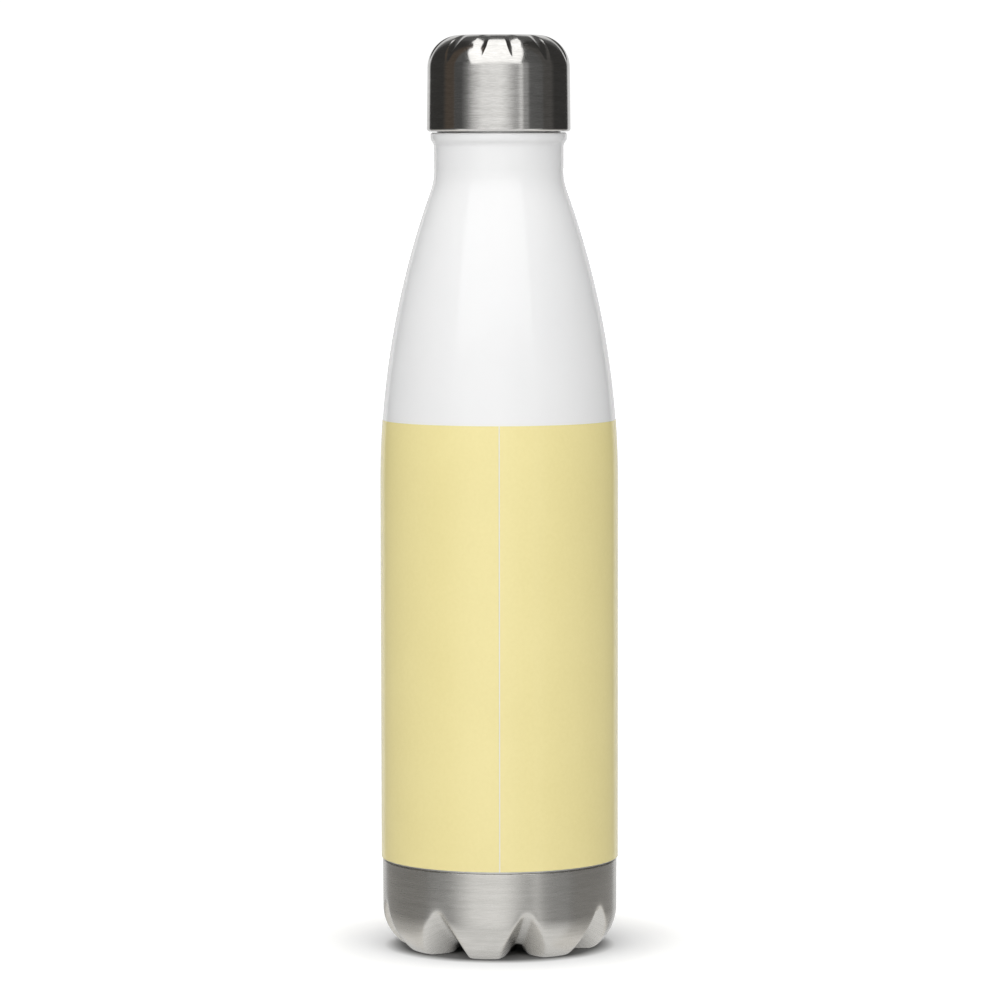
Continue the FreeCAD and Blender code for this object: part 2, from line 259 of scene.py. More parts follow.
def sampled(corners, step=4.0, closed=True, arc_step=0.12, edge=0.08):
    """Points (n, 2) along the outline: its arcs are cut by angle, and its straight sides into steps.
    A point close to each end of a straight side keeps the shading of the arcs off it."""
    legs = []
    for i, (r, z, rounding) in enumerate(corners):
        if rounding < 1e-6 or (not closed and i in (0, len(corners) - 1)):
            legs.append(np.array([[r, z]]))
            continue
        back = np.array(unit((r, z), corners[i - 1]))
        ahead = np.array(unit((r, z), corners[(i + 1) % len(corners)]))
        half = math.acos(float(back @ ahead)) / 2
        centre = np.array([r, z]) + (back + ahead) / np.linalg.norm(back + ahead) * rounding / math.sin(half)
        start = np.array([r, z]) + back * rounding / math.tan(half) - centre
        end = np.array([r, z]) + ahead * rounding / math.tan(half) - centre
        sweep = math.atan2(start[0] * end[1] - start[1] * end[0], float(start @ end))
        count = max(3, math.ceil(abs(sweep) / arc_step), math.ceil(abs(sweep) * rounding / step))
        turn = np.linspace(0, sweep, count + 1)
        c, s = np.cos(turn), np.sin(turn)
        legs.append(centre + np.stack([start[0] * c - start[1] * s, start[0] * s + start[1] * c], 1))
    points = []
    for i, leg in enumerate(legs):
        points.append(leg)
        if i == len(legs) - 1 and not closed:
            break
        a, b = leg[-1], legs[(i + 1) % len(legs)][0]
        length = np.linalg.norm(b - a)
        if length < 1e-4:
            points[-1] = leg[:-1]
            continue
        inset = min(edge, length / 4) / length
        inner = np.linspace(inset, 1 - inset, max(2, math.ceil(length / step) + 1))
        points.append(a + (b - a) * inner[:, None])
    return np.concatenate(points)


def shoulder_corners(barrel_r, neck_r, start, arc, fillet):
    """The two corners whose roundings make a shoulder: one large arc that runs into the neck's fillet."""
    reach = arc + fillet
    turn = math.acos((reach - barrel_r + neck_r) / reach)
    neck_z = start + reach * math.sin(turn)
    bend = math.tan(turn / 2)
    return [(barrel_r, start + arc * bend, arc), (neck_r, neck_z - fillet * bend, fillet)]


def skin(low_z):
    """Outside of the enamel, from low_z up to the top of the rolled ring."""
    rise = RING_FLAT - RING_SWELL
    half_turn = math.atan((RING_R - NECK_R) / rise)
    swell_r = rise / (2 * math.sin(2 * half_turn))
    bend = swell_r * math.tan(half_turn)
    return (
        [(BARREL_R, low_z, 0)]
        + shoulder_corners(BARREL_R, NECK_R, SHOULDER_START, SHOULDER_ARC, NECK_FILLET)
        + [
            (NECK_R, RING_SWELL + bend, swell_r),
            (RING_R, RING_FLAT - bend, swell_r),
            (RING_R, COAT_TOP, COAT + SHEET),
            (COLLAR_R, COAT_TOP, 0),
        ]
    )


# Meshes

def write_mesh(name, points, faces, along=None):
    """A smooth-shaded object from points in millimetres. along is each point's length along its outline."""
    mesh = bpy.data.meshes.new(name)
    mesh.from_pydata((points * MM).tolist(), [], faces)
    mesh.update()
    mesh.shade_smooth()
    if along is not None:
        mesh.attributes.new("along", "FLOAT", "POINT").data.foreach_set("value", along.astype(np.float32))
    piece = bpy.data.objects.new(name, mesh)
    bpy.context.scene.collection.objects.link(piece)
    return piece


def quads(a, b, c, d):
    """Faces from four arrays of corner indices. A corner that is the same as the one before it is dropped."""
    faces = []
    for corners in np.stack([a, b, c, d], -1).reshape(-1, 4).tolist():
        faces.append([v for i, v in enumerate(corners) if v != corners[i - 1]])
    return faces


def lathe(name, outline, segments, shape=None):
    """A closed piece turned about +Z. outline is (n, 2), counter-clockwise in (radius, height). It is a
    closed ring, or starts and ends on the axis. shape(r, z, angle) may move the points of the grid."""
    rows = len(outline)
    on_axis = outline[0, 0] < 1e-6 and outline[-1, 0] < 1e-6
    angle = np.linspace(0, 2 * math.pi, segments, endpoint=False)[None, :].repeat(rows, 0)
    r = outline[:, :1].repeat(segments, 1)
    z = outline[:, 1:].repeat(segments, 1)
    if shape:
        r, z = shape(r, z, angle)
    grid = np.stack([r * np.cos(angle), r * np.sin(angle), z], -1)
    length = np.concatenate([[0], np.linalg.norm(np.diff(outline, axis=0), axis=1).cumsum()])
    index = np.arange(rows * segments).reshape(rows, segments)
    if on_axis:
        index[0] = index[0, 0]
        index[-1] = index[-1, 0]
    following = index[1:] if on_axis else np.roll(index, -1, 0)
    here = index[:-1] if on_axis else index
    faces = quads(here, np.roll(here, -1, 1), np.roll(following, -1, 1), following)
    used = np.unique(index)
    renumber = np.zeros(rows * segments, int)
    renumber[used] = np.arange(len(used))
    faces = [[int(renumber[v]) for v in face] for face in faces]
    along = length[:, None].repeat(segments, 1).reshape(-1)[used]
    return write_mesh(name, grid.reshape(-1, 3)[used], faces, along)


def patch(name, outside, inside, along):
    """A closed thin piece between two grids (rows, columns, 3) of the same size. along is (rows)."""
    rows, columns = outside.shape[:2]
    out = np.arange(rows * columns).reshape(rows, columns)
    back = out + rows * columns
    faces = quads(out[:-1, :-1], out[:-1, 1:], out[1:, 1:], out[1:, :-1])
    faces += quads(back[:-1, :-1], back[1:, :-1], back[1:, 1:], back[:-1, 1:])
    faces += quads(out[0, :-1], back[0, :-1], back[0, 1:], out[0, 1:])
    faces += quads(out[-1, :-1], out[-1, 1:], back[-1, 1:], back[-1, :-1])
    faces += quads(out[:-1, 0], out[1:, 0], back[1:, 0], back[:-1, 0])
    faces += quads(out[:-1, -1], back[:-1, -1], back[1:, -1], out[1:, -1])
    points = np.concatenate([outside.reshape(-1, 3), inside.reshape(-1, 3)])
    return write_mesh(name, points, faces, np.tile(along[:, None].repeat(columns, 1).reshape(-1), 2))


# Pressed and rolled shapes

def groove_depth(across, height, half_angle, root):
    """Distance to a V with a rounded root at (0, 0) that opens upwards, negative inside the V."""
    rise = height - root
    to_flank = np.abs(across) * math.cos(half_angle) - rise * math.sin(half_angle)
    along_flank = np.abs(across) * math.sin(half_angle) + rise * math.cos(half_angle)
    return np.where(along_flank < 0, np.hypot(across, rise), to_flank) - root


def folded(angle, count, first):
    """The angle from the nearest of count evenly spaced directions."""
    step = 2 * math.pi / count
    return (angle - first + step / 2) % step - step / 2


def pressed(r, z, angle, direction, lean, groove, softness):
    """Moves a surface back along direction, a unit vector, until it lies outside every groove. lean is the
    cosine between direction and the surface's normal. softness rounds the edges beside a groove."""
    shallow = np.zeros_like(r)
    deep = np.full_like(r, PRESS_REACH)
    for _ in range(PRESS_STEPS):
        s = (shallow + deep) / 2
        a = -s * lean
        b = -groove(r - direction[0] * s, z - direction[1] * s, angle)
        inside = (a + b + np.sqrt((a - b) ** 2 + softness ** 2)) / 2 < 0
        deep = np.where(inside, s, deep)
        shallow = np.where(inside, shallow, s)
    return r - direction[0] * deep, z - direction[1] * deep


def press_directions(line, centre):
    """For points (n, 2) on an outside line that runs counter-clockwise: unit directions (2, n, 1) away from
    centre, and their cosines (n, 1) with the line's normal."""
    tangent = np.gradient(line, axis=0)
    tangent /= np.linalg.norm(tangent, axis=1)[:, None]
    away = line - np.array(centre)
    away /= np.linalg.norm(away, axis=1)[:, None]
    lean = np.abs(away[:, 0] * tangent[:, 1] - away[:, 1] * tangent[:, 0])
    return away.T[:, :, None], np.maximum(lean, PRESS_LEAN)[:, None]


def scoop(r, z, angle):
    """Distance to the nearest of the cap's scoops: a round bar bent into a quarter turn, then straight."""
    turn = folded(angle, SCOOPS, FIRST_SCOOP)
    x = np.maximum(r * np.cos(turn) - SCOOP_ARC_CENTRE[0], 0)
    height = np.maximum(z - SCOOP_ARC_CENTRE[1], 0)
    inwards = SCOOP_ARC + SCOOP_ROOT - np.hypot(x, height)
    return np.hypot(inwards, r * np.sin(turn)) - SCOOP_ROOT


def valley(r, z, angle):
    """Distance to the nearest of the base's valleys."""
    turn = folded(angle, FEET, FIRST_VALLEY)
    slope = (VALLEY_OUTER[1] - VALLEY_INNER[1]) / (VALLEY_OUTER[0] - VALLEY_INNER[0])
    x = r * np.cos(turn) - VALLEY_INNER[0]
    root = VALLEY_INNER[1] + slope * (x + np.sqrt(x ** 2 + VALLEY_KNEE ** 2)) / 2
    return groove_depth(r * np.sin(turn), root - z, VALLEY_HALF_ANGLE, VALLEY_ROOT)


def smoothstep(t):
    """Rises from 0 to 1 as t does, level at both ends."""
    t = np.clip(t, 0, 1)
    return t * t * (3 - 2 * t)


def screw(rib):
    """A shape that raises a right-hand helical rib on a round wall, with tapered ends."""
    def shape(r, z, angle):
        raised = np.zeros_like(r)
        for lap in (-1, 0, 1):
            turns = ((angle - rib["angle"]) % (2 * math.pi)) / (2 * math.pi) + lap
            away = np.abs(z - rib["start"] - PITCH * turns)
            profile = smoothstep((rib["root"] - away) / (rib["root"] - rib["crest"]))
            taper = smoothstep(turns / THREAD_TAPER) * smoothstep((TURNS - turns) / THREAD_TAPER)
            raised = np.maximum(raised, profile * taper)
        on_wall = np.abs(r - rib["wall"]) < ON_FACE
        return r + rib["height"] * raised * on_wall, z
    return shape


# Materials

def material(name, **sockets):
    """A new material, with constants set on its Principled sockets. Returns it, its tree and its shader."""
    made = bpy.data.materials.new(name)
    made.use_nodes = True
    tree = made.node_tree
    shader = next(n for n in tree.nodes if n.type == "BSDF_PRINCIPLED")
    for socket, value in sockets.items():
        shader.inputs[socket.replace("_", " ")].default_value = value
    return made, tree, shader


def add(tree, kind, inputs, **settings):
    """Adds a node, sets its fields, and links or sets each of its inputs."""
    node = tree.nodes.new(kind)
    for field, value in settings.items():
        setattr(node, field, value)
    for socket, value in inputs.items():
        if isinstance(value, bpy.types.NodeSocket):
            tree.links.new(value, node.inputs[socket])
        else:
            node.inputs[socket].default_value = value
    return node


def maths(tree, operation, first, second):
    return add(tree, "ShaderNodeMath", {0: first, 1: second}, operation=operation).outputs[0]


def place(tree):
    """The point's place on the object, in metres."""
    return add(tree, "ShaderNodeTexCoord", {}).outputs["Object"]


def noise(tree, vector, scale, detail=2.0, roughness=0.5):
    inputs = {"Vector": vector, "Scale": scale, "Detail": detail, "Roughness": roughness}
    return add(tree, "ShaderNodeTexNoise", inputs).outputs["Fac"]


def spread(tree, value, low_value, high_value, from_low=0.3, from_high=0.7):
    """Maps from_low to from_high, a pattern's usual range, onto low_value to high_value."""
    inputs = {"Value": value, "From Min": from_low, "From Max": from_high,
              "To Min": low_value, "To Max": high_value}
    return add(tree, "ShaderNodeMapRange", inputs).outputs["Result"]


def mixed(tree, factor, first, second):
    """A colour between two colours, by a pattern."""
    return add(tree, "ShaderNodeMix", {0: factor, 6: first, 7: second}, data_type="RGBA").outputs[2]


def bump(tree, height, distance, strength=1.0, normal=None):
    inputs = {"Height": height, "Distance": distance, "Strength": strength}
    if normal:
        inputs["Normal"] = normal
    return add(tree, "ShaderNodeBump", inputs).outputs["Normal"]


def brush_space(tree, round_scale, line_scale):
    """Coordinates in which noise becomes fine lines that run round the object.
    round_scale sets the lines' length, and line_scale how many there are across each millimetre."""
    flat = add(tree, "ShaderNodeVectorMath", {0: place(tree), 1: (1, 1, 0)}, operation="MULTIPLY")
    direction = add(tree, "ShaderNodeVectorMath", {0: flat.outputs[0]}, operation="NORMALIZE")
    stretch = {0: direction.outputs[0], "Scale": round_scale}
    turned = add(tree, "ShaderNodeVectorMath", stretch, operation="SCALE")
    along = add(tree, "ShaderNodeAttribute", {}, attribute_name="along").outputs["Fac"]
    lines = maths(tree, "MULTIPLY", along, line_scale)
    lift = add(tree, "ShaderNodeCombineXYZ", {"Z": lines}).outputs[0]
    return add(tree, "ShaderNodeVectorMath", {0: turned.outputs[0], 1: lift}, operation="ADD").outputs[0]


def brushed_steel(name, dark, light, roughness, anisotropy, line_depth):
    """Bare steel with fine brush lines round it, over faint wider bands and a few smudges."""
    made, tree, shader = material(name, Metallic=1.0, Anisotropic=anisotropy)
    fine = noise(tree, brush_space(tree, 8.0, 4.5), 1.0, 3.0, 0.7)
    bands = spread(tree, noise(tree, brush_space(tree, 2.2, 1.3), 0.6, 2.0), 0.4, 0.6)
    smudge = noise(tree, place(tree), 55.0, 3.0)
    tone = spread(tree, maths(tree, "ADD", fine, bands), 0.0, 1.0, 0.75, 1.25)
    tree.links.new(mixed(tree, tone, dark, light), shader.inputs["Base Color"])
    grain = spread(tree, fine, roughness * 0.88, roughness * 1.12)
    worn = spread(tree, smudge, 0.94, 1.08)
    tree.links.new(maths(tree, "MULTIPLY", grain, worn), shader.inputs["Roughness"])
    tree.links.new(bump(tree, fine, line_depth), shader.inputs["Normal"])
    tangent = add(tree, "ShaderNodeTangent", {}, direction_type="RADIAL", axis="Z").outputs[0]
    tree.links.new(tangent, shader.inputs["Tangent"])
    shader.inputs["Anisotropic Rotation"].default_value = 0.25
    return made


def white_enamel():
    """Thick gloss coat with faint orange peel, a touch cooler in places."""
    made, tree, shader = material("white_enamel", Roughness=0.09, IOR=1.5, Specular_IOR_Level=0.4)
    clouds = noise(tree, place(tree), 22.0, 3.0)
    cool, warm = (0.756, 0.758, 0.761, 1), (0.774, 0.774, 0.774, 1)
    tone = mixed(tree, spread(tree, clouds, 0.0, 1.0), cool, warm)
    tree.links.new(tone, shader.inputs["Base Color"])
    peel = noise(tree, place(tree), 420.0, 2.0)
    tree.links.new(bump(tree, peel, 2e-6), shader.inputs["Normal"])
    return made


def yellow_print():
    """Printed film with fine mottling and a slightly uneven gloss."""
    made, tree, shader = material("yellow_print", IOR=1.5)
    mottle = noise(tree, place(tree), 900.0, 3.0, 0.6)
    clouds = noise(tree, place(tree), 35.0, 3.0)
    pattern = spread(tree, maths(tree, "ADD", mottle, clouds), 0.0, 1.0, 0.75, 1.25)
    tone = mixed(tree, pattern, (0.775, 0.682, 0.320, 1), (0.797, 0.704, 0.337, 1))
    tree.links.new(tone, shader.inputs["Base Color"])
    tree.links.new(spread(tree, clouds, 0.13, 0.18), shader.inputs["Roughness"])
    tree.links.new(bump(tree, noise(tree, place(tree), 500.0, 2.0), 2e-6), shader.inputs["Normal"])
    return made


def flask_steel():
    """Electropolished drink side: soft gloss with fine crystals and faint drawing marks."""
    made, tree, shader = material("flask_steel", Metallic=1.0)
    drawn = noise(tree, brush_space(tree, 30.0, 0.25), 1.0, 2.0)
    grain = noise(tree, place(tree), 4200.0, 2.0)
    tone = mixed(tree, spread(tree, drawn, 0.0, 1.0), (0.60, 0.60, 0.59, 1), (0.68, 0.68, 0.67, 1))
    tree.links.new(tone, shader.inputs["Base Color"])
    tree.links.new(spread(tree, drawn, 0.16, 0.26), shader.inputs["Roughness"])
    tree.links.new(bump(tree, grain, 4e-6), shader.inputs["Normal"])
    return made


def moulded(name, dark, light, roughness, grain_scale, grain_depth, **sockets):
    """A moulded or foamed part with a fine grain and slightly uneven colour."""
    made, tree, shader = material(name, **sockets)
    clouds = noise(tree, place(tree), 90.0, 3.0)
    grain = noise(tree, place(tree), grain_scale, 3.0)
    tree.links.new(mixed(tree, spread(tree, clouds, 0.0, 1.0), dark, light), shader.inputs["Base Color"])
    tree.links.new(spread(tree, grain, roughness * 0.88, roughness * 1.12), shader.inputs["Roughness"])
    tree.links.new(bump(tree, grain, grain_depth), shader.inputs["Normal"])
    return made


def open_cell(name, dark, light):
    """Foam with small round cells."""
    made, tree, shader = material(name, Roughness=0.85)
    cells = add(tree, "ShaderNodeTexVoronoi", {"Vector": place(tree), "Scale": 1400.0}).outputs["Distance"]
    tone = spread(tree, cells, 0.0, 1.0, 0.1, 0.6)
    tree.links.new(mixed(tree, tone, dark, light), shader.inputs["Base Color"])
    tree.links.new(bump(tree, cells, 1e-4), shader.inputs["Normal"])
    return made


def crinkled_foil(name, dark, light):
    """Thin foil with sharp shallow creases."""
    made, tree, shader = material(name, Metallic=1.0)
    creases = add(tree, "ShaderNodeTexVoronoi", {"Vector": place(tree), "Scale": 160.0}).outputs["Distance"]
    fine = noise(tree, place(tree), 600.0, 4.0)
    tree.links.new(mixed(tree, spread(tree, fine, 0.0, 1.0), dark, light), shader.inputs["Base Color"])
    tree.links.new(spread(tree, fine, 0.22, 0.34), shader.inputs["Roughness"])
    tree.links.new(bump(tree, creases, 2e-4, 0.6), shader.inputs["Normal"])
    return made


def sintered(name, dark, light, roughness):
    """Pressed metal powder."""
    made, tree, shader = material(name, Metallic=0.8)
    grain = noise(tree, place(tree), 2600.0, 4.0, 0.7)
    tree.links.new(mixed(tree, spread(tree, grain, 0.0, 1.0), dark, light), shader.inputs["Base Color"])
    tree.links.new(spread(tree, grain, roughness * 0.85, roughness * 1.15), shader.inputs["Roughness"])
    tree.links.new(bump(tree, grain, 5e-5), shader.inputs["Normal"])
    return made


# Pieces

def between(a, b, spacing):
    """Evenly spaced points from a to b."""
    return np.linspace(a, b, math.ceil(math.dist(a, b) / spacing) + 1)


def shell():
    """Steel outer wall, up to the top of the bare collar."""
    steel = offset(skin(SHELL_LOW), COAT)
    foot_of_collar = steel.pop()
    steel += [(COLLAR_R, foot_of_collar[1], 0), (COLLAR_R, COLLAR_TOP, 0)]
    return lathe("shell", sampled(sheet(steel, SHEET)), 256)


def coat():
    """White coat over the barrel, shoulder, neck and rolled ring."""
    return lathe("coat", sampled(sheet(skin(COAT_LOW), COAT), step=3.0), 384)


def print_film():
    """Printed film round the barrel, whose two ends nearly meet on the -Y side. A point close to each edge
    keeps the edge's shading off the film."""
    centre_r = BARREL_R - SHOULDER_ARC
    turn = math.asin((PRINT_TOP - SHOULDER_START) / SHOULDER_ARC)
    top_r = centre_r + SHOULDER_ARC * math.cos(turn)
    bend_z = SHOULDER_START + SHOULDER_ARC * math.tan(turn / 2)
    inside = [(BARREL_R, PRINT_LOW, 0), (BARREL_R, bend_z, SHOULDER_ARC), (top_r, PRINT_TOP, 0)]
    line = sampled(inside, step=3.0, closed=False)
    line = np.insert(line, -1, line[-1] + (line[-2] - line[-1]) * 0.02, axis=0)
    half_gap = SEAM_GAP / BARREL_R / 2
    angle = np.linspace(half_gap, 2 * math.pi - half_gap, 384)
    angle = np.insert(angle, [1, -1], [angle[0] + 0.001, angle[-1] - 0.001]) - math.pi / 2
    grids = []
    for thickness in (PRINT, 0.0):
        r = (line[:, :1] + thickness).repeat(len(angle), 1)
        z = line[:, 1:].repeat(len(angle), 1)
        grids.append(np.stack([r * np.cos(angle), r * np.sin(angle), z], -1))
    return patch("print_film", grids[0], grids[1], line[:, 1] - PRINT_LOW)


def pressed_piece(name, line, spacing, segments, centre, groove, softness):
    """A sheet pressed with grooves towards centre. line is its outside, with the metal on the line's left."""
    inside = sampled(offset(line, SHEET)[::-1], step=2 * spacing, closed=False)
    outside = sampled(line, step=spacing, closed=False)
    rows = len(inside)

    def deeper(r, z, angle):
        return groove(r, z, angle) - SHEET

    def shape(r, z, angle):
        sides = []
        for part, side, face in ((slice(rows), inside, deeper), (slice(rows, None), outside, groove)):
            push, lean = press_directions(side, centre)
            sides.append(pressed(r[part], z[part], angle[part], push, lean, face, softness))
        return np.concatenate([r for r, z in sides]), np.concatenate([z for r, z in sides])

    return lathe(name, np.concatenate([inside, outside]), segments, shape)


def base():
    """Pressed base with eight feet, and the flange that is welded inside the outer wall."""
    rim_r, rim_z = CUP_RIM
    line = [
        (PUMP_HOLE_R, DIMPLE_Z, 0),
        (DIMPLE_TOP_R, DIMPLE_Z, 0.2),
        (DIMPLE_R, RECESS_Z, 0.2),
        (RECESS_R, RECESS_Z, 0.8),
        (RECESS_FOOT_R, 0, 1.4),
        FOOT_EDGE,
        CUP_HEEL,
        (rim_r, rim_z, 0.25),
        (CUP_FLANGE_R, rim_z, 0),
        (CUP_FLANGE_R, FLANGE_TOP, 0),
    ]
    return pressed_piece("base", line, 0.4, 640, VALLEY_CENTRE, valley, VALLEY_CREST)


def disc():
    """Thin cover over the pump hole, with two shallow rings stamped in it."""
    outline = [(0, DISC_LOW, 0), (DISC_R, DISC_LOW, 0.15), (DISC_R, DISC_TOP, 0), (0, DISC_TOP, 0)]
    rings = (5.0, 11.2)
    half_width = 0.5
    depth = 0.12

    def stamped(r, z, angle):
        groove = sum(smoothstep(1 - np.abs(r - ring) / half_width) for ring in rings)
        return r, z + depth * groove * (z < DISC_LOW + ON_FACE)

    return lathe("disc", sampled(outline, step=0.3), 160, stamped)


def flask():
    """Inner flask wall, its neck with the rolled screw bead, and the drinking lip."""
    wall = [(LINER_R, FLASK_WELD_Z, 0)]
    wall += shoulder_corners(LINER_R, LINER_NECK_R, LINER_SHOULDER_START, LINER_ARC, NECK_FILLET)
    wall += [(LINER_NECK_R, COLLAR_TOP, 0.15), (COLLAR_R, COLLAR_TOP, 0)]
    back = offset(wall, LINER_SHEET)[::-1]
    lip = [(COLLAR_R, LIP_TOP, 0.15), (BORE_R, LIP_TOP, 0.3), (BORE_R, THREAD_HIGH, 0)]
    outline = np.concatenate([
        sampled(wall, closed=False),
        sampled([(COLLAR_R, COLLAR_TOP, 0)] + lip, closed=False)[1:-1],
        between((BORE_R, THREAD_HIGH), (BORE_R, THREAD_LOW), 0.2),
        sampled([(BORE_R, THREAD_LOW, 0)] + back[2:], closed=False)[1:],
    ])
    return lathe("flask", outline, 384, screw(BEAD))


def flask_bottom():
    """Dished bottom of the inner flask."""
    dish = [(0, LINER_BOTTOM, 0), (LINER_R, LINER_BOTTOM, LINER_CORNER), (LINER_R, FLASK_WELD_Z, 0)]
    return lathe("flask_bottom", sampled(sheet(dish, LINER_SHEET), step=2.0), 256)


def cap():
    """Steel cap, pressed with a ring of scoops and hemmed round its open end."""
    top_r = CAP_R - (HEIGHT - CAP_LOW) * math.tan(CAP_TAPER)
    line = [(CAP_HEM_R, CAP_LOW, 0), (CAP_R, CAP_LOW, 0.9), (top_r, HEIGHT, CAP_CORNER), (0, HEIGHT, 0)]
    return pressed_piece("cap", line, 0.33, 768, SCOOP_CENTRE, scoop, SCOOP_CREST)


def stopper():
    """Moulded stopper: a skirt and roof that fit the steel cap, and a hollow plug with the screw ridge."""
    inset = SHEET + STOPPER_GAP
    low_r = CAP_R - inset - (SKIRT_LOW - CAP_LOW) * math.tan(CAP_TAPER)
    shoulder_r = CAP_R - inset - (STOPPER_SHOULDER - CAP_LOW) * math.tan(CAP_TAPER)
    upper = [
        (PLUG_R, THREAD_HIGH, 0),
        (PLUG_R, CAVITY_TOP, 0.3),
        (CAVITY_R, CAVITY_TOP, 0.5),
        (CAVITY_R, SKIRT_LOW, 0.3),
        (low_r, SKIRT_LOW, 0.6),
        (shoulder_r, STOPPER_SHOULDER, 2.0),
        (STOPPER_TOP_R, STOPPER_TOP, 0.5),
        (PLUG_BORE_R, STOPPER_TOP, 0.5),
        (PLUG_BORE_R, PLUG_WELD, 0),
    ]
    outline = np.concatenate([
        sampled(upper, closed=False),
        between((PLUG_R, PLUG_WELD), (PLUG_R, THREAD_HIGH), 0.2)[:-1],
    ])
    return lathe("stopper", outline, 384, screw(RIDGE))


def plug_end():
    """Disc welded into the plug's lower end, with a gate mark in the middle and a weld groove round it."""
    spigot_r = PLUG_BORE_R - STOPPER_GAP
    outline = sampled([
        (0, PLUG_LOW, 0),
        (PLUG_R, PLUG_LOW, 0.6),
        (PLUG_R, PLUG_WELD, 0),
        (spigot_r, PLUG_WELD, 0),
        (spigot_r, PLUG_END_TOP, 0.4),
        (0, PLUG_END_TOP, 0),
    ], step=0.4)

    gate_r, gate_depth = 1.8, 0.5
    ring_r, half_width, ring_depth = 11.5, 0.8, 0.3

    def moulded_face(r, z, angle):
        gate = gate_depth * smoothstep(gate_r - r)
        ring = ring_depth * smoothstep(1 - np.abs(r - ring_r) / half_width)
        return r, z + (gate + ring) * (z < PLUG_LOW + ON_FACE)

    return lathe("plug_end", outline, 192, moulded_face)


def gasket():
    """Silicone ring with two sealing beads on its lower face."""
    bead_w = (GASKET_R - GASKET_IN_R) / 3
    outline = [
        (GASKET_IN_R, GASKET_LOW, 0.35),
        (GASKET_IN_R + bead_w, GASKET_LOW, 0.2),
        (GASKET_IN_R + 1.5 * bead_w, GASKET_LOW + 0.25, 0.2),
        (GASKET_R - bead_w, GASKET_LOW, 0.2),
        (GASKET_R, GASKET_LOW, 0.35),
        (GASKET_R, GASKET_TOP, 0.35),
        (GASKET_IN_R, GASKET_TOP, 0.35),
    ]
    return lathe("gasket", sampled(outline, step=0.5), 256)


def dress():
    """Makes every piece, gives it its body and material, hides the CAD node that it replaces, and finishes
    the CAD nodes that stay.
    """
    bare_steel = brushed_steel("shell_steel", (0.52, 0.52, 0.51, 1), (0.60, 0.60, 0.59, 1), 0.30, 0.6, 4e-6)
    base_steel = brushed_steel("base_steel", (0.53, 0.52, 0.49, 1), (0.67, 0.655, 0.625, 1), 0.26, 0.4, 3e-6)
    cap_steel = brushed_steel("cap_steel", (0.52, 0.51, 0.49, 1), (0.72, 0.71, 0.69, 1), 0.155, 0.75, 1.5e-6)
    drink_steel = flask_steel()
    plastic = moulded("stopper_plastic", (0.80, 0.80, 0.79, 1), (0.85, 0.85, 0.84, 1), 0.38, 1500.0, 8e-6)
    silicone = moulded("gasket_silicone", (0.74, 0.76, 0.76, 1), (0.80, 0.81, 0.81, 1), 0.45, 900.0, 5e-6,
                       Subsurface_Weight=0.3, Subsurface_Scale=0.001)
    pieces = [
        (shell, "outer_shell", "bottle", "shell_steel", bare_steel),
        (coat, "enamel_coat", "bottle", "white_enamel", white_enamel()),
        (print_film, "printed_wrap", "bottle", "yellow_print", yellow_print()),
        (base, "base_cup", "bottle", "base_steel", base_steel),
        (disc, "base_disc", "bottle", "base_steel", base_steel),
        (flask, "inner_liner", "bottle", "flask_steel", drink_steel),
        (flask_bottom, "liner_bottom", "bottle", "flask_steel", drink_steel),
        (cap, "cap_shell", "cap", "cap_steel", cap_steel),
        (stopper, "stopper_body", "cap", "stopper_plastic", plastic),
        (plug_end, "stopper_end_cap", "cap", "stopper_plastic", plastic),
        (gasket, "seal_gasket", "seal", "gasket_silicone", silicone),
    ]
    for make, node, body, slot, finish in pieces:
        piece = make()
        piece.data.materials.append(finish)
        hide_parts(node)
        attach(piece, body)
    kept = {
        "copper_wrap": crinkled_foil("copper_foil", (0.70, 0.36, 0.22, 1), (0.86, 0.50, 0.34, 1)),
        "getter_capsule": sintered("getter_metal", (0.16, 0.16, 0.17, 1), (0.30, 0.30, 0.31, 1), 0.6),
        "getter_strap": sintered("strap_steel", (0.50, 0.50, 0.49, 1), (0.60, 0.60, 0.59, 1), 0.35),
        "vacuum_seal_bead": moulded(
            "solder_glass", (0.20, 0.24, 0.21, 1), (0.28, 0.32, 0.28, 1), 0.12, 500.0, 4e-6),
        "foam_core": open_cell("insulating_foam", (0.80, 0.76, 0.66, 1), (0.90, 0.88, 0.80, 1)),
    }
    for node, finish in kept.items():
        for slot in frame["nodes"][node].material_slots:
            slot.material = finish


# Studio

def world():
    """White behind the object, and an even light from all round. What is mirrored is darker above, and bright
    below and at the back."""
    made = bpy.data.worlds.new("studio")
    bpy.context.scene.world = made
    made.use_nodes = True
    tree = made.node_tree
    tree.nodes.clear()
    direction = add(tree, "ShaderNodeTexCoord", {}).outputs["Generated"]
    towards = add(tree, "ShaderNodeSeparateXYZ", {0: direction}).outputs
    below = spread(tree, towards["Z"], MIRRORED_FILL, MIRRORED_BELOW, *BELOW)
    behind = spread(tree, towards["Y"], 0.0, MIRRORED_BEHIND, *BEHIND)
    path = add(tree, "ShaderNodeLightPath", {}).outputs
    mirrored = maths(tree, "MAXIMUM", below, behind)
    lit = add(tree, "ShaderNodeMix", {0: path["Is Diffuse Ray"], 2: mirrored, 3: FILL_LIGHT}).outputs[0]
    strength = add(tree, "ShaderNodeMix", {0: path["Is Camera Ray"], 2: lit, 3: BACKDROP}).outputs[0]
    white = add(tree, "ShaderNodeBackground", {"Color": (1, 1, 1, 1), "Strength": strength})
    add(tree, "ShaderNodeOutputWorld", {"Surface": white.outputs[0]})


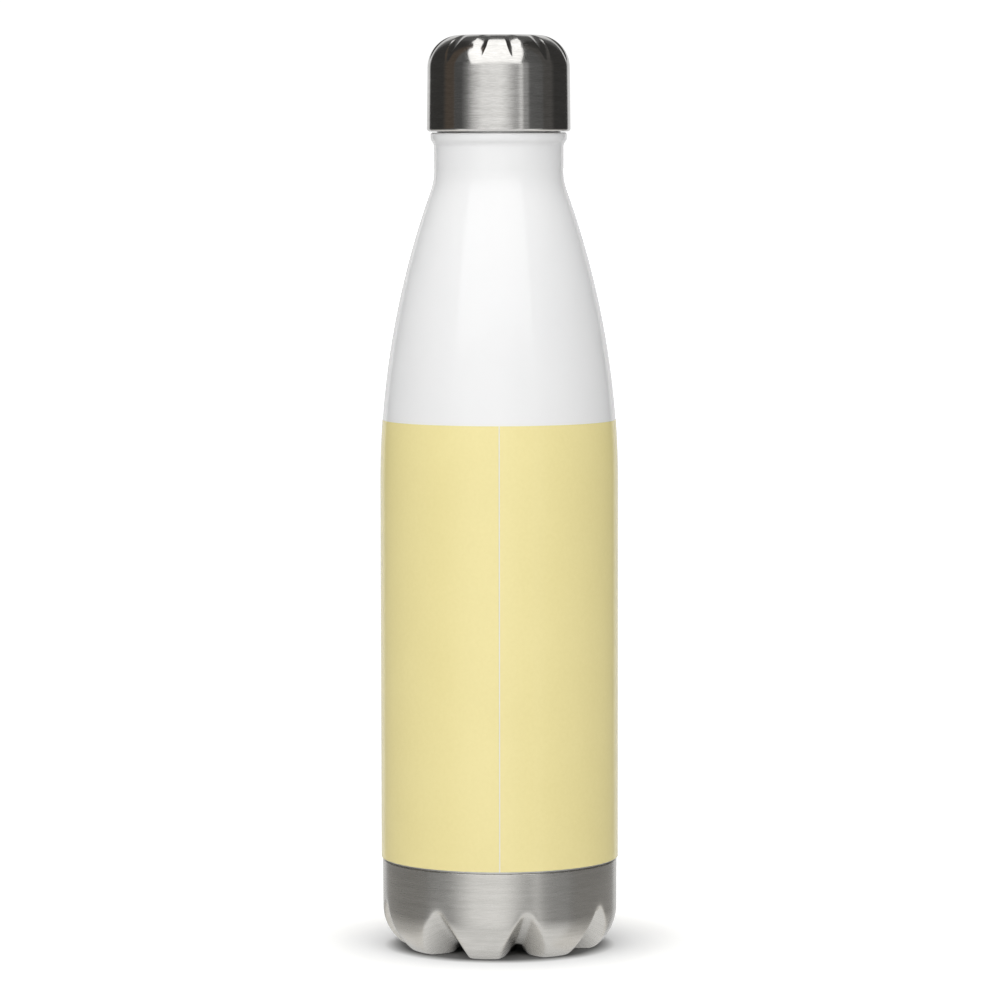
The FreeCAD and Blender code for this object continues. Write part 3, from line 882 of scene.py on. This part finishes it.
def card(name, points, faces):
    """A sheet that glows and that the camera doesn't see. Returns it, its node tree, its shader and the
    sockets of a point's place on it."""
    mesh = bpy.data.meshes.new(name)
    mesh.from_pydata(points, [], faces)
    made, tree, shader = material(name, Base_Color=(0, 0, 0, 1), Roughness=1.0, Specular_IOR_Level=0.0,
                                  Emission_Color=(1, 1, 1, 1), Emission_Strength=1.0)
    mesh.materials.append(made)
    hung = bpy.data.objects.new(name, mesh)
    bpy.context.scene.collection.objects.link(hung)
    hung.visible_camera = False
    return hung, tree, shader, add(tree, "ShaderNodeSeparateXYZ", {0: place(tree)}).outputs


def floor():
    """White floor with a painted contact shadow: its colour is grey between the feet. It glows further out,
    so that only the contact shadow shows, and just the part close by is mirrored."""
    corners = [(x * FLOOR_REACH, y * FLOOR_REACH, 0) for x, y in ((-1, -1), (1, -1), (1, 1), (-1, 1))]
    ground, tree, shader, _ = card("floor", corners, [(0, 1, 2, 3)])
    ground.visible_camera = True
    away = add(tree, "ShaderNodeVectorMath", {0: place(tree)}, operation="LENGTH").outputs["Value"]
    path = add(tree, "ShaderNodeLightPath", {}).outputs
    # painted contact shadow: the floor's colour turns from grey between the feet to white further out
    painted_shadow_grey, white = (0.25, 0.25, 0.25, 1), (0.82, 0.82, 0.82, 1)
    tone = mixed(tree, spread(tree, away, 0.0, 1.0, *FLOOR_PAINTED_SHADOW), painted_shadow_grey, white)
    tree.links.new(tone, shader.inputs["Base Color"])
    near = spread(tree, away, 0.0, FLOOR_GLOW[0], *FLOOR_NEAR)
    far = spread(tree, away, 0.0, FLOOR_GLOW[1], *FLOOR_FAR)
    glow = maths(tree, "MULTIPLY", maths(tree, "ADD", near, far), path["Is Camera Ray"])
    tree.links.new(glow, shader.inputs["Emission Strength"])
    gone = maths(tree, "MULTIPLY", spread(tree, away, 0.0, 1.0, *FLOOR_UNSEEN), path["Is Glossy Ray"])
    clear = add(tree, "ShaderNodeBsdfTransparent", {}).outputs[0]
    both = add(tree, "ShaderNodeMixShader", {0: gone, 1: shader.outputs[0], 2: clear}).outputs[0]
    tree.links.new(both, next(n for n in tree.nodes if n.type == "OUTPUT_MATERIAL").inputs["Surface"])


def flag(name, x, near_colour):
    """A dark card beside the object that shows only in reflections. It is near_colour towards the camera,
    darker towards the back, and lighter low down."""
    y_low, y_high = FLAG_Y
    z_low, z_high = FLAG_Z
    corners = [(x, y_low, z_low), (x, y_high, z_low), (x, y_high, z_high), (x, y_low, z_high)]
    hung, tree, shader, at = card(name, corners, [(0, 1, 2, 3)])
    hung.visible_diffuse = False
    back = spread(tree, at["Y"], 0.0, 1.0, *FLAG_FADE_Y)
    plain = maths(tree, "MAXIMUM", back, spread(tree, at["Z"], 0.0, 1.0, *FLAG_FADE_Z))
    tree.links.new(mixed(tree, plain, near_colour, (1.0, 0.98, 0.95, 1)), shader.inputs["Emission Color"])
    low_glow = spread(tree, at["Z"], 0.0, FLAG_LOW_GLOW, *FLAG_LOW_Z)
    glow = maths(tree, "MAXIMUM", spread(tree, back, *FLAG_LIGHT, 0.0, 1.0), low_glow)
    tree.links.new(glow, shader.inputs["Emission Strength"])


def front_wall():
    """A low curved screen behind the camera. Its brightness changes with azimuth, and is higher low down."""
    half = math.radians(WALL_HALF_ANGLE)
    angles = np.linspace(-half, half, 61)
    points = []
    for height in (-WALL_TOP, WALL_TOP):
        points += [(WALL_R * math.sin(a), -WALL_R * math.cos(a), height) for a in angles]
    columns = len(angles)
    faces = [(i, i + 1, i + 1 + columns, i + columns) for i in range(columns - 1)]
    _, tree, shader, at = card("front_wall", points, faces)
    turn = maths(tree, "ARCTAN2", at["X"], maths(tree, "MULTIPLY", at["Y"], -1.0))
    ramp = add(tree, "ShaderNodeValToRGB", {"Fac": spread(tree, turn, 0.0, 1.0, -half, half)})
    stops = ramp.color_ramp.elements
    while len(stops) < len(WALL_LIGHT):
        stops.new(0.5)
    for stop, (azimuth, bright) in zip(stops, WALL_LIGHT):
        stop.position = 0.5 + azimuth / WALL_HALF_ANGLE / 2
        stop.color = (bright, bright, bright, 1)
    low_glow = spread(tree, at["Z"], 0.0, WALL_LOW_GLOW, *WALL_LOW_Z)
    glow = maths(tree, "MAXIMUM", ramp.outputs["Color"], low_glow)
    tree.links.new(glow, shader.inputs["Emission Strength"])


def key_light(name, reach, strength):
    """The main light: a wide screen that leans over the object and turns into a ceiling that narrows.
    reach moves it further from the object."""
    points = []
    for y, z, left, right in KEY_ROWS:
        points += [(left * reach, y * reach, z * reach), (right * reach, y * reach, z * reach)]
    faces = [(i, i + 1, i + 3, i + 2) for i in range(0, len(points) - 2, 2)]
    hung, _, shader, _ = card(name, points, faces)
    shader.inputs["Emission Strength"].default_value = strength
    return hung


def studio():
    world()
    floor()
    front_wall()
    flag("flag_left", -FLAG_X, (1.0, 0.80, 0.64, 1))
    flag("flag_right", FLAG_X, (1.0, 0.96, 0.92, 1))
    mirrored_key = key_light("mirrored_key", 1.0, MIRRORED_KEY)
    mirrored_key.visible_diffuse = False
    mirrored_key.visible_shadow = False
    key_light("key", KEY_BEHIND, KEY_LIGHT).visible_glossy = False


def camera():
    """A long lens level with the cap, looking slightly down."""
    lens = bpy.data.cameras.new("camera")
    lens.sensor_width = 36.0
    lens.lens = LENS
    lens.clip_end = 100.0
    eye = bpy.data.objects.new("camera", lens)
    eye.location = CAMERA_AT
    upright = Matrix.Rotation(math.radians(90 - CAMERA_TILT), 3, "X")
    eye.rotation_euler = (upright @ Matrix.Rotation(math.radians(CAMERA_ROLL), 3, "Z")).to_euler()
    bpy.context.scene.collection.objects.link(eye)
    bpy.context.scene.camera = eye
    bpy.context.scene.view_settings.view_transform = "Standard"


dress()
studio()
camera()
